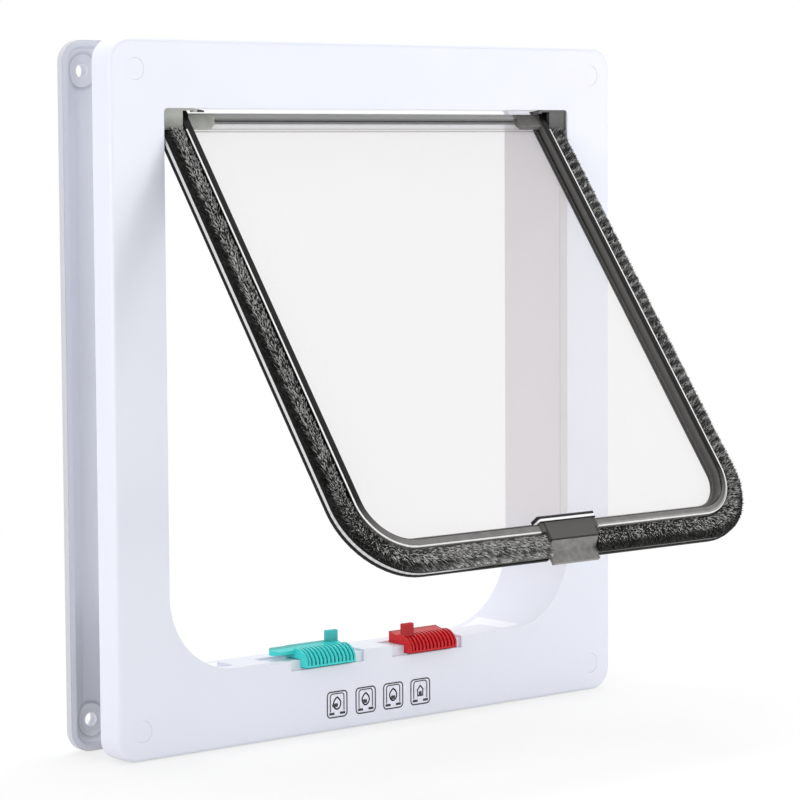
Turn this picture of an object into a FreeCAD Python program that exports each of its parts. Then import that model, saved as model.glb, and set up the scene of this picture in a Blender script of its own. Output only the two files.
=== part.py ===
"""Cat flap for a door: two frames joined by a tunnel, a brush-edged flap and two lock sliders.

Millimetres, +Z up, +X to the right and +Y away from the room. The origin is the centre of the
four screw holes of the outdoor frame, on the plane where its rim meets the door.
"""
import FreeCAD, Part
import math
import os

V = FreeCAD.Vector

# Both frames share one outline.
FRAME_WIDTH = 235.0
FRAME_HEIGHT = 250.0
FRAME_CORNER = 8.0
SCREW_INSET = 10.5
SCREW_HOLE_D = 5.0

# Room-side frame.
FRONT_DEPTH = 10.6
FRONT_SKIN = 3.0
WALL = 2.8
FRONT_EDGE_ROUND = 1.4
POST_D = 11.0
CAP_D = 7.5
CAP_THICK = 1.7
CAP_SINK = 0.1
COLLAR_DEPTH = 22.0
COLLAR_WALL = 2.0
RIB_WALL = 1.6
RIB_COUNT = 3

# Opening that the animal walks through.
SIDE_MARGIN = 22.5
TOP_MARGIN = 23.8
SILL_MARGIN = 28.5
OPENING_CORNER = 28.0
OPENING_TOP_CORNER = 1.5
LIP_DEPTH = 4.2

# Outdoor frame and the tunnel moulded on it.
DOOR_SPACE = 18.0
RIM_HEIGHT = 3.0
RIM_WALL = 2.2
BACK_RISE = 4.4
BACK_SKIN = 3.0
BACK_BEVEL = 7.0
BOSS_D = 11.5
BOSS_SINK = 3.4
LINER_WALL = 2.2
FLOOR_DROP = 4.0

# Sill that carries the sliders.
SILL_DEPTH = 16.0
SILL_HALF = 64.0
SILL_END_ROUND = 2.0
SILL_SKIN = 2.4
POCKET_HALF = 58.0
POCKET_NEAR = 4.0
POCKET_FAR = 13.6
TRACK_DROP = 0.8
TRACK_FACE = 1.0
TRACK_SKIRT = 4.4
TRACK_BACK = 9.8

# Lock sliders, measured back from the front face and up from the sill.
GRIP_WIDTH = 23.0
GRIP_FRONT = 2.2
GRIP_TOP = 2.4
GRIP_SKIRT = 3.6
GRIP_CROWN = 4.6
GRIP_RIBS = 12
GRIP_RIB_RISE = 0.55
GRIP_BORDER = 0.9
BAR_TOP = 3.6
BAR_BACK = 9.5
TAB_HEIGHT = 7.3
TAB_THICK = 1.8
TAB_WIDTH = 5.0
TAB_NEAR = 1.0
GREEN_INNER = 13.8
RED_INNER = 12.2
FINGER_LENGTH = 9.5
FINGER_NEAR = 3.8
FINGER_FAR = 8.6
FINGER_LIFT = 1.2
NECK_NEAR = 6.0
NECK_FAR = 8.0
NECK_LENGTH = 8.0
FOOT_OVERHANG = 1.1
FOOT_THICK = 1.2
TRAVEL_IN = 6.0
TRAVEL_OUT = 4.5

# Hinge.
AXIS_DROP = 3.2
AXIS_DEPTH = 5.4
PIN_D = 2.4
HUB_D = 5.4
HUB_GAP = 3.0
CHEEK_THICK = 1.8
CHEEK_REACH = 4.2
CHEEK_DROP = 5.0
ARM_THICK = 0.8
ARM_TIP = 1.4
ARM_NEAR = 0.5
ARM_FAR = 2.4
ARM_LENGTH = 17.5
ARM_POINT = 5.0
WEB_NEAR = 0.9
WEB_DROP = 4.3

# Flap, measured from the hinge axis: depth is positive towards the room.
OPEN_ANGLE = 36.5
PILE_WIDTH = 8.5
PILE_FRONT = 1.9
RAIL_WIDTH = 3.4
RAIL_FRONT = 2.6
RAIL_ROUND = 0.9
PANEL_FACE = -0.4
PANEL_THICK = 1.5
PANEL_INSET = 0.4
PANEL_NOTCH = 7.2
REAR_RAIL = 1.8
REAR_RAIL_DROP = 4.0
REAR_PILE = 1.6
TOP_BAR_D = 3.0
SHOULDER_DROP = 6.6
LUG_LENGTH = 11.0
LUG_HEIGHT = 4.9
LUG_DROP = 2.6
LUG_FRONT = 1.6

# Catch block at the flap's lower edge.
BLOCK_HALF = 13.0
BLOCK_RISE = 2.4
BLOCK_BAND = 2.5
BAND_FRONT = 4.1
BLOCK_FRONT = 3.0
BLOCK_ROUND = 0.6
NOSE_HALF = 10.8
NOSE_FACE = 6.8
NOSE_SLOPE = 2.8
NOSE_FRONT = 3.4
NOSE_EDGE = 1.2
NOSE_LAP = 1.1
MAGNET_LENGTH = 16.0
MAGNET_SIDE = 2.6
MAGNET_WALL = 0.6
MAGNET_LIFT = 6.2

# Clearances.
LINER_FIT = 0.3
SEAM = 0.2
PILE_GAP = 0.5
BRUSH_LIFT = 1.0
SLIDE_GAP = 0.25
PIN_GAP = 0.08
CAP_GAP = 0.06

half_w = FRAME_WIDTH / 2
half_h = FRAME_HEIGHT / 2
front_y = -(FRONT_DEPTH + DOOR_SPACE)
skirt_y = front_y + FRONT_DEPTH
lip_y = front_y + LIP_DEPTH
back_y = RIM_HEIGHT + BACK_RISE
open_half = half_w - SIDE_MARGIN
open_top = half_h - TOP_MARGIN
sill_z = -half_h + SILL_MARGIN
floor_z = sill_z - FLOOR_DROP
liner_corner = OPENING_CORNER + FLOOR_DROP
screw_x = half_w - SCREW_INSET
screw_z = half_h - SCREW_INSET
tab_top = sill_z + TAB_HEIGHT
axis_y = front_y + AXIS_DEPTH
axis_z = open_top - AXIS_DROP
pile_half = open_half - PILE_GAP
pile_low = tab_top + BRUSH_LIFT
pile_corner = OPENING_CORNER - PILE_GAP
rail_half = pile_half - PILE_WIDTH
rail_low = pile_low + PILE_WIDTH
rail_corner = pile_corner - PILE_WIDTH
nose_low = tab_top - NOSE_LAP
cheek_half = open_half - CHEEK_THICK


def outline(half, low, high, low_corner, high_corner, y):
    """Closed wire of a box with rounded corners, lower and upper radii apart, at one depth."""
    corners = [(half, low, low_corner, -45), (half, high, high_corner, 45),
               (-half, high, high_corner, 135), (-half, low, low_corner, 225)]
    arcs = []
    for x, z, radius, middle in corners:
        centre = V(x - math.copysign(radius, x), y, z + (radius if z == low else -radius))
        points = []
        for angle in (middle - 45, middle, middle + 45):
            turn = math.radians(angle)
            points.append(centre + V(radius * math.cos(turn), 0, radius * math.sin(turn)))
        arcs.append(points)
    edges = []
    for index, points in enumerate(arcs):
        edges.append(Part.LineSegment(arcs[index - 1][2], points[0]).toShape())
        edges.append(Part.Arc(*points).toShape())
    return Part.Wire(edges)


def slab(half, low, high, low_corner, high_corner, near, far):
    """Solid between two depths with a rounded outline."""
    face = Part.Face(outline(half, low, high, low_corner, high_corner, near))
    return face.extrude(V(0, far - near, 0))


def frame_slab(inset, near, far):
    """The outline that both frames share, drawn in by an even inset."""
    corner = max(FRAME_CORNER - inset, 1.0)
    return slab(half_w - inset, -half_h + inset, half_h - inset, corner, corner, near, far)


def opening_slab(grow, near, far):
    """The opening's outline, let out by an even margin."""
    return slab(open_half + grow, sill_z - grow, open_top + grow, OPENING_CORNER + grow,
                OPENING_TOP_CORNER + grow, near, far)


def tunnel_slab(grow, near, far):
    """The tunnel's inner outline, let out by an even margin."""
    return slab(open_half + grow, floor_z - grow, open_top + grow, liner_corner + grow,
                OPENING_TOP_CORNER + grow, near, far)


def box(x0, x1, y0, y1, z0, z1):
    """Box between its lower and upper bounds."""
    return Part.makeBox(x1 - x0, y1 - y0, z1 - z0, V(x0, y0, z0))


def rod(diameter, x0, x1, y, z):
    """Cylinder along X."""
    return Part.makeCylinder(diameter / 2, x1 - x0, V(x0, y, z), V(1, 0, 0))


def post(diameter, x, z, near, far):
    """Cylinder along Y."""
    return Part.makeCylinder(diameter / 2, far - near, V(x, near, z), V(0, 1, 0))


def side_profile(points, x0, x1):
    """Solid between two X places from a closed run of (depth, height) points."""
    corners = [V(x0, y, z) for y, z in points]
    return Part.Face(Part.makePolygon(corners + corners[:1])).extrude(V(x1 - x0, 0, 0))


def mirrored(shape):
    """The same piece on the other side."""
    return shape.mirror(V(0, 0, 0), V(1, 0, 0))


def edges_at(shape, test):
    """Edges whose every vertex passes a test."""
    return [edge for edge in shape.Edges if all(test(v.Point) for v in edge.Vertexes)]


def export(name, shape):
    """One STEP file per piece."""
    shape.exportStep(f"parts/{name}.step")


def screw_places():
    """The four screw centres."""
    return [(x, z) for x in (-screw_x, screw_x) for z in (-screw_z, screw_z)]


def slider_span(side, inner, width):
    """Low and high X of a length that starts at a distance from the middle on one side."""
    ends = sorted((side * inner, side * (inner + width)))
    return ends[0], ends[1]


def track(side, inner, reach):
    """Space cut in the sill for one slider and its travel."""
    low, high = slider_span(side, inner - TRAVEL_IN - SLIDE_GAP,
                            reach + TRAVEL_IN + TRAVEL_OUT + 2 * SLIDE_GAP)
    top = box(low, high, front_y - 1, front_y + TRACK_BACK, sill_z - TRACK_DROP, sill_z + 1)
    grip_low, grip_high = slider_span(side, inner - TRAVEL_IN - SLIDE_GAP,
                                      GRIP_WIDTH + TRAVEL_IN + TRAVEL_OUT + 2 * SLIDE_GAP)
    face = box(grip_low, grip_high, front_y - 1, front_y + TRACK_FACE,
               sill_z - TRACK_SKIRT, sill_z)
    neck = inner + (GRIP_WIDTH - NECK_LENGTH) / 2
    slot_low, slot_high = slider_span(side, neck - TRAVEL_IN - SLIDE_GAP,
                                      NECK_LENGTH + TRAVEL_IN + TRAVEL_OUT + 2 * SLIDE_GAP)
    slot = box(slot_low, slot_high, front_y + NECK_NEAR - SLIDE_GAP,
               front_y + NECK_FAR + SLIDE_GAP, sill_z - SILL_SKIN - 1, sill_z)
    return top.fuse([face, slot])


def front_frame():
    """Room-side frame: rounded face, skirt, collar round the tunnel, sill, posts and ribs."""
    shell = frame_slab(0, front_y, skirt_y)
    rim = edges_at(shell, lambda p: abs(p.y - front_y) < 0.01)
    shell = shell.makeFillet(FRONT_EDGE_ROUND, rim)
    shell = shell.cut(frame_slab(WALL, front_y + FRONT_SKIN, skirt_y + 1))
    collar_grow = LINER_WALL + LINER_FIT
    collar = tunnel_slab(collar_grow + COLLAR_WALL, front_y + FRONT_SKIN, front_y + COLLAR_DEPTH)
    collar = collar.cut(tunnel_slab(collar_grow, lip_y, front_y + COLLAR_DEPTH + 1))
    pieces = [collar]
    collar_low = floor_z - collar_grow
    for side in (-1, 1):
        for step in range(RIB_COUNT):
            place = (step + 1) / (RIB_COUNT + 1)
            x_low, x_high = sorted((side * (open_half + collar_grow), side * (half_w - 1)))
            z = sill_z + OPENING_CORNER + place * (open_top - sill_z - 2 * OPENING_CORNER)
            pieces.append(box(x_low, x_high, front_y + FRONT_SKIN, skirt_y - 1,
                              z - RIB_WALL / 2, z + RIB_WALL / 2))
    for step in range(RIB_COUNT):
        x = (2 * (step + 1) / (RIB_COUNT + 1) - 1) * (open_half - OPENING_CORNER / 2)
        for z_low, z_high in ((-half_h + 1, collar_low), (open_top + collar_grow, half_h - 1)):
            pieces.append(box(x - RIB_WALL / 2, x + RIB_WALL / 2, front_y + FRONT_SKIN,
                              skirt_y - 1, z_low, z_high))
    for x, z in screw_places():
        pieces.append(post(POST_D, x, z, front_y + FRONT_SKIN / 2, skirt_y))
    sill = box(-SILL_HALF, SILL_HALF, front_y + FRONT_SKIN, front_y + SILL_DEPTH,
               collar_low - COLLAR_WALL / 2, sill_z)
    ends = [e for e in sill.Edges if abs(e.Vertexes[0].Z - e.Vertexes[-1].Z) > 1
            and e.Vertexes[0].Y > front_y + SILL_DEPTH - 0.01]
    pieces.append(sill.makeFillet(SILL_END_ROUND, ends))
    frame = shell.fuse(pieces)
    frame = frame.cut(opening_slab(0, front_y - 1, lip_y + SEAM / 2))
    cuts = [box(-POCKET_HALF, POCKET_HALF, front_y + POCKET_NEAR, front_y + POCKET_FAR,
                collar_low - COLLAR_WALL - 1, sill_z - SILL_SKIN)]
    cuts.append(track(-1, GREEN_INNER, GRIP_WIDTH + FINGER_LENGTH))
    cuts.append(track(1, RED_INNER, GRIP_WIDTH))
    for x, z in screw_places():
        cuts.append(post(SCREW_HOLE_D, x, z, front_y - 1, skirt_y + 1))
        cuts.append(post(CAP_D + 2 * CAP_GAP, x, z, front_y - 1, front_y + CAP_SINK + CAP_THICK))
    return frame.cut(cuts).removeSplitter()


def rear_frame():
    """Outdoor frame: raised rim, bevelled back, four screw bosses and the tunnel."""
    body = frame_slab(0, 0, RIM_HEIGHT)
    edge = outline(half_w, -half_h, half_h, FRAME_CORNER, FRAME_CORNER, RIM_HEIGHT)
    crown = outline(half_w - BACK_BEVEL, -half_h + BACK_BEVEL, half_h - BACK_BEVEL,
                    FRAME_CORNER / 2, FRAME_CORNER / 2, back_y)
    body = body.fuse(Part.makeLoft([edge, crown], True, True))
    hollow_y = RIM_HEIGHT - RIM_WALL
    inner = FRAME_CORNER - RIM_WALL
    inset = BACK_BEVEL + RIM_WALL / 2
    mouth = outline(half_w - RIM_WALL, -half_h + RIM_WALL, half_h - RIM_WALL, inner, inner, hollow_y)
    floor = outline(half_w - inset, -half_h + inset, half_h - inset,
                    FRAME_CORNER / 2, FRAME_CORNER / 2, back_y - BACK_SKIN)
    hollow = frame_slab(RIM_WALL, -1, hollow_y).fuse(Part.makeLoft([mouth, floor], True, True))
    body = body.cut(hollow)
    tube = tunnel_slab(LINER_WALL, lip_y + SEAM, back_y - BACK_RISE / 2)
    bosses = [post(BOSS_D, x, z, BOSS_SINK, back_y - BACK_SKIN / 2) for x, z in screw_places()]
    bosses = [boss.common(frame_slab(0, 0, back_y)) for boss in bosses]
    envelope = frame_slab(0, -1, RIM_HEIGHT).fuse(Part.makeLoft([edge, crown], True, True))
    bosses = [boss.common(envelope) for boss in bosses]
    body = body.fuse([tube] + bosses)
    body = body.cut(tunnel_slab(0, lip_y, back_y + 1))
    notch = box(-SILL_HALF - LINER_FIT, SILL_HALF + LINER_FIT, lip_y, front_y + SILL_DEPTH + LINER_FIT,
                floor_z - LINER_WALL - 1, sill_z)
    holes = [post(SCREW_HOLE_D, x, z, -1, back_y + 1) for x, z in screw_places()]
    return body.cut([notch] + holes).removeSplitter()


def screw_caps():
    """Round plugs over the four screw heads in the room-side frame."""
    caps = []
    for x, z in screw_places():
        near = front_y + CAP_SINK
        caps.append(post(CAP_D, x, z, near, near + CAP_THICK))
    return Part.makeCompound(caps)


def grip_section(rise):
    """Side outline of a slider's thumb grip, let out by a small rise."""
    top = sill_z + GRIP_TOP + rise
    nose = front_y - GRIP_FRONT - rise
    crown_y = front_y + GRIP_CROWN
    skirt = sill_z - GRIP_SKIRT
    turn_z = sill_z - GRIP_FRONT / 2
    start = V(0, crown_y, top)
    end = V(0, nose, turn_z)
    centre_y, centre_z = crown_y, turn_z
    middle = V(0, centre_y + (nose - centre_y) * math.sin(math.pi / 4),
               centre_z + (top - centre_z) * math.sin(math.pi / 4))
    inner_y = front_y + TRACK_FACE - SLIDE_GAP
    seat_z = sill_z - TRACK_DROP + SLIDE_GAP
    low_front = V(0, nose, skirt)
    low_back = V(0, inner_y, skirt)
    corner = V(0, inner_y, seat_z)
    heel = V(0, crown_y, seat_z)
    edges = [Part.Arc(start, middle, end).toShape()]
    run = [end, low_front, low_back, corner, heel, start]
    for first, second in zip(run, run[1:]):
        edges.append(Part.LineSegment(first, second).toShape())
    return Part.Face(Part.Wire(edges))


def slider(side, inner, tab_near):
    """Lock slider: ribbed grip over the sill's edge, bar, neck, foot and upright tab."""
    low, high = slider_span(side, inner, GRIP_WIDTH)
    body = grip_section(0).extrude(V(high - low, 0, 0)).translated(V(low, 0, 0))
    seat_z = sill_z - TRACK_DROP + SLIDE_GAP
    back = front_y + BAR_BACK
    pieces = [side_profile([(front_y + GRIP_CROWN, seat_z), (front_y + GRIP_CROWN, sill_z + GRIP_TOP),
                            (back, sill_z + BAR_TOP), (back, seat_z)], low, high)]
    border = grip_section(GRIP_RIB_RISE).extrude(V(GRIP_BORDER, 0, 0))
    pieces += [border.translated(V(low, 0, 0)), border.translated(V(high - GRIP_BORDER, 0, 0))]
    nose = front_y - GRIP_FRONT - GRIP_RIB_RISE
    skirt = sill_z - GRIP_SKIRT
    pieces.append(box(low, high, nose, nose + 2 * GRIP_RIB_RISE, skirt, skirt + GRIP_BORDER))
    pitch = (GRIP_WIDTH - 2 * GRIP_BORDER) / GRIP_RIBS
    for step in range(GRIP_RIBS):
        ridge = grip_section(GRIP_RIB_RISE).extrude(V(pitch / 2, 0, 0))
        pieces.append(ridge.translated(V(low + GRIP_BORDER + pitch * (step + 0.25), 0, 0)))
    tab_low, tab_high = slider_span(side, inner, TAB_WIDTH)
    tab = box(tab_low, tab_high, front_y + tab_near, front_y + tab_near + TAB_THICK, seat_z, tab_top)
    crest = [e for e in tab.Edges if e.Vertexes[0].Z > tab_top - 0.01
             and e.Vertexes[-1].Z > tab_top - 0.01]
    pieces.append(tab.makeFillet(TAB_THICK / 4, crest))
    neck_low, neck_high = slider_span(side, inner + (GRIP_WIDTH - NECK_LENGTH) / 2, NECK_LENGTH)
    foot_top = sill_z - SILL_SKIN - SLIDE_GAP
    pieces.append(box(neck_low, neck_high, front_y + NECK_NEAR, front_y + NECK_FAR,
                      foot_top - FOOT_THICK, seat_z + 0.5))
    pieces.append(box(neck_low, neck_high, front_y + NECK_NEAR - FOOT_OVERHANG,
                      front_y + NECK_FAR + FOOT_OVERHANG, foot_top - FOOT_THICK, foot_top))
    return body.fuse(pieces)


def green_slider():
    """Slider on the left, with a finger that runs out along the sill and its tab behind."""
    body = slider(-1, GREEN_INNER, BAR_BACK - TAB_THICK)
    radius = (FINGER_FAR - FINGER_NEAR) / 2
    end = -(GREEN_INNER + GRIP_WIDTH + FINGER_LENGTH)
    root = -GREEN_INNER - GRIP_WIDTH + 1
    low = sill_z + FINGER_LIFT
    finger = side_profile([(front_y + FINGER_NEAR, low), (front_y + FINGER_NEAR, sill_z + GRIP_TOP),
                           (front_y + FINGER_FAR, sill_z + BAR_TOP), (front_y + FINGER_FAR, low)],
                          end, root)
    plan = Part.makeCylinder(radius, BAR_TOP, V(end + radius, front_y + FINGER_NEAR + radius, sill_z))
    plan = plan.fuse(box(end + radius, root, front_y, front_y + BAR_BACK, sill_z, sill_z + BAR_TOP))
    return body.fuse(finger.common(plan)).removeSplitter()


def red_slider():
    """Slider on the right, with its tab in front."""
    return slider(1, RED_INNER, TAB_NEAR).removeSplitter()


def sill_magnet():
    """Magnet bar glued under the sill's skin."""
    top = sill_z - SILL_SKIN
    middle = front_y + (POCKET_NEAR + POCKET_FAR) / 2
    return box(-MAGNET_LENGTH / 2, MAGNET_LENGTH / 2, middle - MAGNET_SIDE, middle + MAGNET_SIDE,
               top - MAGNET_SIDE, top)


def hinge_bracket(side):
    """Corner bracket: cheek on the opening's side, web over the hub and pointed arm above."""
    cheek = box(cheek_half, open_half + 1, axis_y - CHEEK_REACH, axis_y + CHEEK_REACH,
                axis_z - CHEEK_DROP, open_top + 1)
    low_edges = [e for e in cheek.Edges if abs(e.Vertexes[0].X - e.Vertexes[-1].X) > 1
                 and e.Vertexes[0].Z < axis_z]
    cheek = cheek.makeFillet(CHEEK_REACH / 2, low_edges)
    tip = open_half - ARM_LENGTH
    step = rail_half - RAIL_WIDTH - 2 * SEAM
    corners = [(tip, open_top - ARM_TIP), (step, open_top - ARM_TIP), (step, open_top - ARM_THICK),
               (open_half + 1, open_top - ARM_THICK), (open_half + 1, open_top + 1),
               (tip + ARM_POINT, open_top), (tip, open_top - ARM_THICK)]
    points = [V(x, front_y + ARM_NEAR, z) for x, z in corners]
    arm = Part.Face(Part.makePolygon(points + points[:1])).extrude(V(0, ARM_FAR - ARM_NEAR, 0))
    web = box(rail_half + 2 * SEAM, open_half + 1, front_y + WEB_NEAR, front_y + ARM_FAR,
              axis_z - WEB_DROP, open_top)
    bracket = cheek.fuse([arm, web]).common(opening_slab(0, front_y, axis_y + 2 * CHEEK_REACH))
    bracket = bracket.cut(rod(PIN_D, cheek_half - 1, open_half + 1, axis_y, axis_z))
    bracket = bracket.removeSplitter()
    return bracket if side > 0 else mirrored(bracket)


def hinge_pin(side):
    """Steel pin from the bracket's cheek into the flap's hub."""
    pin = rod(PIN_D, rail_half - RAIL_WIDTH / 2 + PIN_GAP, open_half, axis_y, axis_z)
    return pin if side > 0 else mirrored(pin)


def flap_depth(value):
    """Y of a depth measured from the hinge axis towards the room, with the flap closed."""
    return axis_y - value


def flap_slab(half, low, high, corner, front, back):
    """Part of the closed flap: square upper corners, round lower ones."""
    return slab(half, low, high, corner, SEAM, flap_depth(front), flap_depth(back))


def opened(shape):
    """Turn a piece of the closed flap about the hinge to where it stands open."""
    return shape.rotated(V(0, axis_y, axis_z), V(1, 0, 0), -OPEN_ANGLE)


def flap_panel():
    """Clear panel with a flange all round between the brushes, notched for the catch block."""
    back = PANEL_FACE - PANEL_THICK
    wide = flap_slab(pile_half - PANEL_INSET, pile_low + PANEL_INSET, axis_z - SHOULDER_DROP,
                     pile_corner - PANEL_INSET, PANEL_FACE, back)
    rail_in = rail_half - RAIL_WIDTH
    necks = [box(-half, half, flap_depth(PANEL_FACE), flap_depth(back), axis_z - 2 * SHOULDER_DROP,
                 axis_z - drop) for half, drop in ((rail_half, REAR_RAIL_DROP), (rail_in, TOP_BAR_D / 2))]
    notch = box(-NOSE_HALF - SEAM / 2, NOSE_HALF + SEAM / 2, flap_depth(RAIL_FRONT),
                flap_depth(back) + 1, pile_low - 1, pile_low + PANEL_NOTCH)
    return wide.fuse(necks).cut(notch).removeSplitter()


def flap_surround():
    """Smoked rail down both sides and along the bottom, with the top bar, lugs and hubs."""
    rail_in = rail_half - RAIL_WIDTH
    ring = flap_slab(rail_half, rail_low, axis_z, rail_corner, RAIL_FRONT, PANEL_FACE)
    hole = flap_slab(rail_in, rail_low + RAIL_WIDTH, axis_z + 1, rail_corner - RAIL_WIDTH,
                     RAIL_FRONT + 1, PANEL_FACE - 1)
    ring = ring.cut(hole)
    front = flap_depth(RAIL_FRONT)
    crest = edges_at(ring, lambda p: abs(p.y - front) < 0.01 and p.z < axis_z - 0.01)
    ring = ring.makeFillet(RAIL_ROUND, [e for e in crest if abs(e.Vertexes[0].Z - axis_z) > 0.01])
    block_top = rail_low + RAIL_WIDTH + BLOCK_RISE
    ring = ring.cut(box(-BLOCK_HALF, BLOCK_HALF, front - 1, flap_depth(PANEL_FACE) + 1,
                        rail_low - 1, block_top))
    pieces = [rod(TOP_BAR_D, -rail_half, rail_half, axis_y, axis_z)]
    pieces.append(box(-rail_in, rail_in, flap_depth(PANEL_FACE), flap_depth(PANEL_FACE - PANEL_THICK),
                      axis_z - TOP_BAR_D / 2, axis_z))
    for side in (-1, 1):
        low, high = sorted((side * rail_in, side * (cheek_half - HUB_GAP)))
        pieces.append(rod(HUB_D, low, high, axis_y, axis_z))
        low, high = sorted((side * (rail_in - LUG_LENGTH + LUG_HEIGHT / 2), side * rail_half))
        lug_z = axis_z - LUG_DROP
        pieces.append(box(low, high, flap_depth(LUG_FRONT), flap_depth(PANEL_FACE),
                          lug_z - LUG_HEIGHT / 2, lug_z + LUG_HEIGHT / 2))
        pieces.append(post(LUG_HEIGHT, side * (rail_in - LUG_LENGTH + LUG_HEIGHT / 2), lug_z,
                           flap_depth(LUG_FRONT), flap_depth(PANEL_FACE)))
    frame = ring.fuse(pieces)
    bores = []
    for side in (-1, 1):
        low, high = sorted((side * (rail_half - RAIL_WIDTH / 2), side * cheek_half))
        bores.append(rod(PIN_D + 2 * PIN_GAP, low, high, axis_y, axis_z))
    return frame.cut(bores).removeSplitter()


def rear_rail():
    """Smoked rail on the panel's outdoor face, with a pad behind the catch block."""
    near = PANEL_FACE - PANEL_THICK
    far = near - REAR_RAIL
    high = axis_z - REAR_RAIL_DROP
    ring = flap_slab(rail_half, rail_low, high, rail_corner, near, far)
    ring = ring.cut(flap_slab(rail_half - RAIL_WIDTH, rail_low + RAIL_WIDTH, high + 1,
                              rail_corner - RAIL_WIDTH, near + 1, far - 1))
    back = flap_depth(far)
    crest = edges_at(ring, lambda p: abs(p.y - back) < 0.01)
    ring = ring.makeFillet(BLOCK_ROUND, [e for e in crest if min(v.Z for v in e.Vertexes) < high - 1])
    pad = box(-NOSE_HALF, NOSE_HALF, flap_depth(near), flap_depth(far),
              pile_low + PANEL_NOTCH, rail_low + RAIL_WIDTH)
    return ring.fuse(pad).removeSplitter()


def brush_strip(side, front, back):
    """Pile strip round one side and its lower corner, up to the catch block."""
    strip = flap_slab(pile_half, pile_low, axis_z - SHOULDER_DROP, pile_corner, front, back)
    strip = strip.cut(flap_slab(rail_half, rail_low, axis_z, rail_corner, front + 1, back - 1))
    far = half_w
    keep = box(NOSE_HALF + SEAM, far, front_y - far, back_y + far, -half_h, half_h)
    strip = strip.common(keep)
    return strip if side > 0 else mirrored(strip)


def magnet_box():
    """Place of the flap's magnet inside the catch block's nose, with the flap closed."""
    low = nose_low + MAGNET_LIFT
    rear = PANEL_FACE - PANEL_THICK + MAGNET_WALL
    return box(-MAGNET_LENGTH / 2, MAGNET_LENGTH / 2, flap_depth(rear + MAGNET_SIDE),
               flap_depth(rear), low, low + MAGNET_SIDE)


def catch_block():
    """Housing on the flap's lower edge: rounded band, flat face, sloping underside and tongue."""
    top = rail_low + RAIL_WIDTH + BLOCK_RISE
    band_low = top - BLOCK_BAND
    face_low = band_low - NOSE_FACE
    panel_edge = pile_low + PANEL_NOTCH
    seat = flap_depth(PANEL_FACE)
    back = flap_depth(PANEL_FACE - PANEL_THICK)
    front = flap_depth(BAND_FRONT)
    band = box(-BLOCK_HALF, BLOCK_HALF, front, seat, band_low, top)
    band = band.makeFillet(BLOCK_BAND / 3, edges_at(band, lambda p: abs(p.y - front) < 0.01))
    body = box(-BLOCK_HALF, BLOCK_HALF, flap_depth(BLOCK_FRONT), seat, rail_low, top - BLOCK_BAND / 2)
    nose = side_profile([(seat, band_low + BLOCK_BAND / 2), (flap_depth(NOSE_FRONT), band_low),
                         (flap_depth(NOSE_FRONT), face_low), (back - NOSE_EDGE, face_low - NOSE_SLOPE),
                         (back - NOSE_EDGE, nose_low), (back, nose_low), (back, panel_edge),
                         (seat, panel_edge)], -NOSE_HALF, NOSE_HALF)
    return band.fuse([body, nose]).cut(magnet_box()).removeSplitter()


os.makedirs("parts", exist_ok=True)
export("front_frame", front_frame())
export("rear_frame", rear_frame())
export("screw_caps", screw_caps())
export("sill_magnet", sill_magnet())
export("green_slider", green_slider())
export("red_slider", red_slider())
export("hinge_bracket_left", hinge_bracket(-1))
export("hinge_bracket_right", hinge_bracket(1))
export("hinge_pin_left", hinge_pin(-1))
export("hinge_pin_right", hinge_pin(1))
export("flap_panel", opened(flap_panel()))
export("flap_surround", opened(flap_surround()))
export("flap_rear_rail", opened(rear_rail()))
for node, turn in (("left", -1), ("right", 1)):
    panel_back = PANEL_FACE - PANEL_THICK
    export(f"brush_{node}", opened(brush_strip(turn, PILE_FRONT, PANEL_FACE)))
    export(f"rear_brush_{node}", opened(brush_strip(turn, panel_back, panel_back - REAR_PILE)))
export("catch_block", opened(catch_block()))
export("flap_magnet", opened(magnet_box()))
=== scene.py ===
"""Looks of a door cat flap: white frames, clear brush-edged flap, smoked trim and lock sliders.

Metres, +Z up, +X to the right seen from the room and +Y out through the door. The origin is the
centre of the outdoor frame's four screw holes, on the plane where its rim meets the door.
"""

import math
import random
from contextlib import contextmanager

import bmesh
import bpy
from bpy.props import FloatProperty, FloatVectorProperty, IntProperty, PointerProperty
from mathutils import Matrix, Vector


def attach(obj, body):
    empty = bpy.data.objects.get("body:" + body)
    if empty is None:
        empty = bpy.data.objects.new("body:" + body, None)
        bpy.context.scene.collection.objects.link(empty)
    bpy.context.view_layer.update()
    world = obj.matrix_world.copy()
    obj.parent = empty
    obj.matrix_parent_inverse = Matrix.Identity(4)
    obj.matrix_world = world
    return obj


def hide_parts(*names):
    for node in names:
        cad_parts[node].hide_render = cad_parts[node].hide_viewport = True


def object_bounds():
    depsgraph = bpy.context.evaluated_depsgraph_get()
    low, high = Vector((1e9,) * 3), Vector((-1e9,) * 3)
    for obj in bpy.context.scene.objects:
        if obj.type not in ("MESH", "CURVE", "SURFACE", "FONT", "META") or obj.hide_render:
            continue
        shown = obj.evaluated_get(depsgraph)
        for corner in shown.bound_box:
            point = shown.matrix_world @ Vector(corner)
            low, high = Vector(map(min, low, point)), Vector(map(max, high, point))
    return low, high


bl_info = {
    "name": "Door Cat Flap",
    "version": (1, 0, 0),
    "blender": (4, 5, 0),
    "location": "View3D > Sidebar > Cat Flap",
    "description": "Dresses the cat flap's solids and lays its brush pile and pictograms",
    "category": "Object",
}

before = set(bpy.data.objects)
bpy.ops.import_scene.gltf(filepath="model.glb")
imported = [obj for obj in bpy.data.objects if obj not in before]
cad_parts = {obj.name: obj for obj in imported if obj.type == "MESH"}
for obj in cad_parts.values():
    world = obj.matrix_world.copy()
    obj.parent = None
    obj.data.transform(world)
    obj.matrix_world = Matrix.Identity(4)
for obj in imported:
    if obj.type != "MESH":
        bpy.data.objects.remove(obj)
CAD_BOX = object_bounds()
MM = 0.001

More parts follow.
